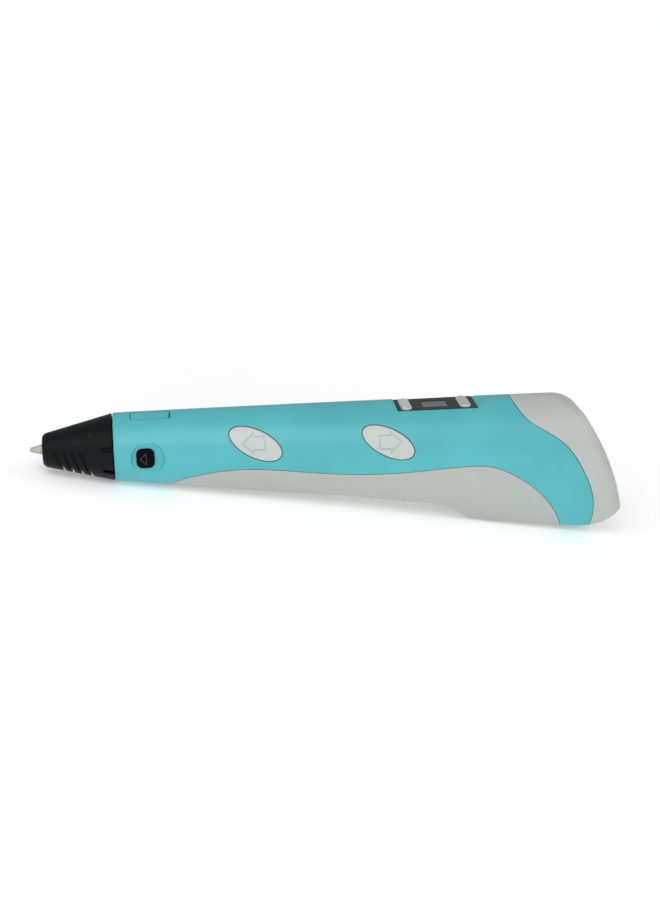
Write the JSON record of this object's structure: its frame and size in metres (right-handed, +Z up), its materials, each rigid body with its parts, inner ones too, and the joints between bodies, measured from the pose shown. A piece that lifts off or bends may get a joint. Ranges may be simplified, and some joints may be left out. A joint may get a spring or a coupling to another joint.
{
  "type": "3d drawing pen",
  "caption": "Hand-held plastic-filament drawing pen with a tapered nose guard, two oval feed buttons, a heat button, a small display panel with keys, and a stepped heel.",
  "frame": {"origin": "centre of the plan-view bounding box, on the surface that the pen rests on", "axes": "+X from nose to tail, level; +Z up; -Y is the left side, with the two oval feed buttons and the heat button"},
  "size_m": [0.1814, 0.031, 0.0408],
  "materials": {
    "shell_teal": "satin",
    "shell_grey": "satin",
    "button_grey": "satin",
    "cap_black": "matt",
    "button_black": "satin",
    "panel_dark": "gloss",
    "lcd": "gloss",
    "ceramic": "ceramic, satin",
    "barrel_metal": "machined",
    "holder_black": "matt",
    "tube_white": "PTFE, satin",
    "block_plastic": "matt",
    "steel": "ground",
    "brass": "machined",
    "board": "solder mask, satin",
    "chip": "matt",
    "switch": "matt",
    "capacitor": "sleeved",
    "screw": "black zinc"
  },
  "bodies": {
    "pen_body": {"left_shell": "shell_teal", "right_shell": "shell_teal", "belly_cover": "shell_grey", "rear_cap": "shell_grey", "shell_screws": "screw", "nozzle": "ceramic", "heater_barrel": "barrel_metal", "heater_sleeve": "ceramic", "thermistor": "ceramic", "nozzle_holder": "holder_black", "feed_tube": "tube_white", "feed_block": "block_plastic", "screw_bushes": "brass", "motor_plate": "steel", "gearbox_case": "steel", "motor_can": "steel", "motor_cap": "block_plastic", "lever_pin": "steel", "lever_spring": "steel", "guide_tube": "tube_white", "inlet_collar": "button_grey", "main_board": "board", "side_switches": "switch", "controller_chip": "chip", "driver_chips": "chip", "power_connector": "tube_white", "display_board": "board", "key_switches": "switch", "lcd_module": "lcd", "display_panel": "panel_dark", "power_board": "board", "inductor": "chip", "capacitors": "capacitor", "power_jack": "block_plastic", "jack_pin": "steel"},
    "nose_guard": {"nose_cap": "cap_black"},
    "feed_push": {"feed_button": "button_grey"},
    "retract_push": {"retract_button": "button_grey"},
    "heat_push": {"heat_button": "button_black"},
    "front_key_push": {"front_key": "button_grey"},
    "rear_key_push": {"rear_key": "button_grey"},
    "latch_push": {"release_latch": "shell_teal"},
    "screw_shaft": {"drive_screw": "steel", "driven_gear": "brass"},
    "motor_output": {"pinion": "brass", "output_shaft": "steel"},
    "idler_arm": {"idler_lever": "block_plastic", "roller_axle": "steel"},
    "idler_wheel": {"idler_roller": "brass"}
  },
  "joints": [
    {"name": "nose_cap_pull", "type": "slide", "parent": "pen_body", "child": "nose_guard", "axis": [-0.9871, 0, -0.1604], "range_m": [0, 0.004]},
    {"name": "feed_press", "type": "slide", "parent": "pen_body", "child": "feed_push", "axis": [0.0583, 0.9315, -0.359], "range_m": [0, 0.0004], "stiffness_N_per_m": 1200},
    {"name": "retract_press", "type": "slide", "parent": "pen_body", "child": "retract_push", "axis": [0.0584, 0.9312, -0.3597], "range_m": [0, 0.0004], "stiffness_N_per_m": 1200},
    {"name": "heat_press", "type": "slide", "parent": "pen_body", "child": "heat_push", "axis": [0, 1, 0], "range_m": [0, 0.0004], "stiffness_N_per_m": 1200},
    {"name": "front_key_press", "type": "slide", "parent": "pen_body", "child": "front_key_push", "axis": [0.1604, 0, -0.9871], "range_m": [0, 0.0004], "stiffness_N_per_m": 1200},
    {"name": "rear_key_press", "type": "slide", "parent": "pen_body", "child": "rear_key_push", "axis": [0.1604, 0, -0.9871], "range_m": [0, 0.0004], "stiffness_N_per_m": 1200},
    {"name": "latch_press", "type": "slide", "parent": "pen_body", "child": "latch_push", "axis": [0.1604, 0, -0.9871], "range_m": [0, 0.0008], "stiffness_N_per_m": 1500},
    {"name": "screw_spin", "type": "hinge", "parent": "pen_body", "child": "screw_shaft", "pos_m": [-0.03742, 0, 0.01086], "axis": [0.9871, 0, 0.1604], "continuous": true},
    {"name": "motor_spin", "type": "hinge", "parent": "pen_body", "child": "motor_output", "pos_m": [-0.01837, 0, 0.00838], "axis": [0.9871, 0, 0.1604], "continuous": true},
    {"name": "idler_lift", "type": "hinge", "parent": "pen_body", "child": "idler_arm", "pos_m": [-0.0384, 0, 0.02002], "axis": [0, -1, 0], "range_deg": [0, 3.5], "stiffness_Nm_per_rad": 0.05},
    {"name": "idler_spin", "type": "hinge", "parent": "idler_arm", "child": "idler_wheel", "pos_m": [-0.03173, 0, 0.01951], "axis": [0, 1, 0], "continuous": true}
  ],
  "couplings": [
    {"joint": "motor_spin", "follows": "screw_spin", "ratio": -0.8}
  ]
}
